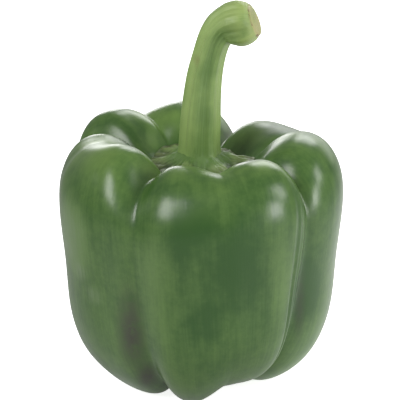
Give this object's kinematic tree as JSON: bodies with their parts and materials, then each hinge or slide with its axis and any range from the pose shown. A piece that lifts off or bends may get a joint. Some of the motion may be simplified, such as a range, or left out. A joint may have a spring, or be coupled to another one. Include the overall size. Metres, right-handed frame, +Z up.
{
  "type": "bell pepper",
  "caption": "Blocky green bell pepper with deep creases between its lobes, a ribbed calyx in the top hollow and a thick bent stem; stands upright on its lobes.",
  "frame": {"origin": "under the middle of the whole pepper's bounding box, on the surface that it stands on", "axes": "+Z up along the stem, -Y towards the front lobe, +X towards the side that the stem bends to"},
  "size_m": [0.0878, 0.089, 0.1229],
  "materials": {
    "pepper_skin": "glossy, waxy deep green pepper skin with fine lengthwise streaks and paler yellow-green shoulders",
    "calyx_skin": "dull, wrinkled brownish-green calyx",
    "stem_skin": "satin yellow-green ridged stalk with a tan cut scar at its end"
  },
  "bodies": {
    "root": {"pepper_body": "pepper_skin", "calyx": "calyx_skin", "stem": "stem_skin"}
  },
  "joints": []
}
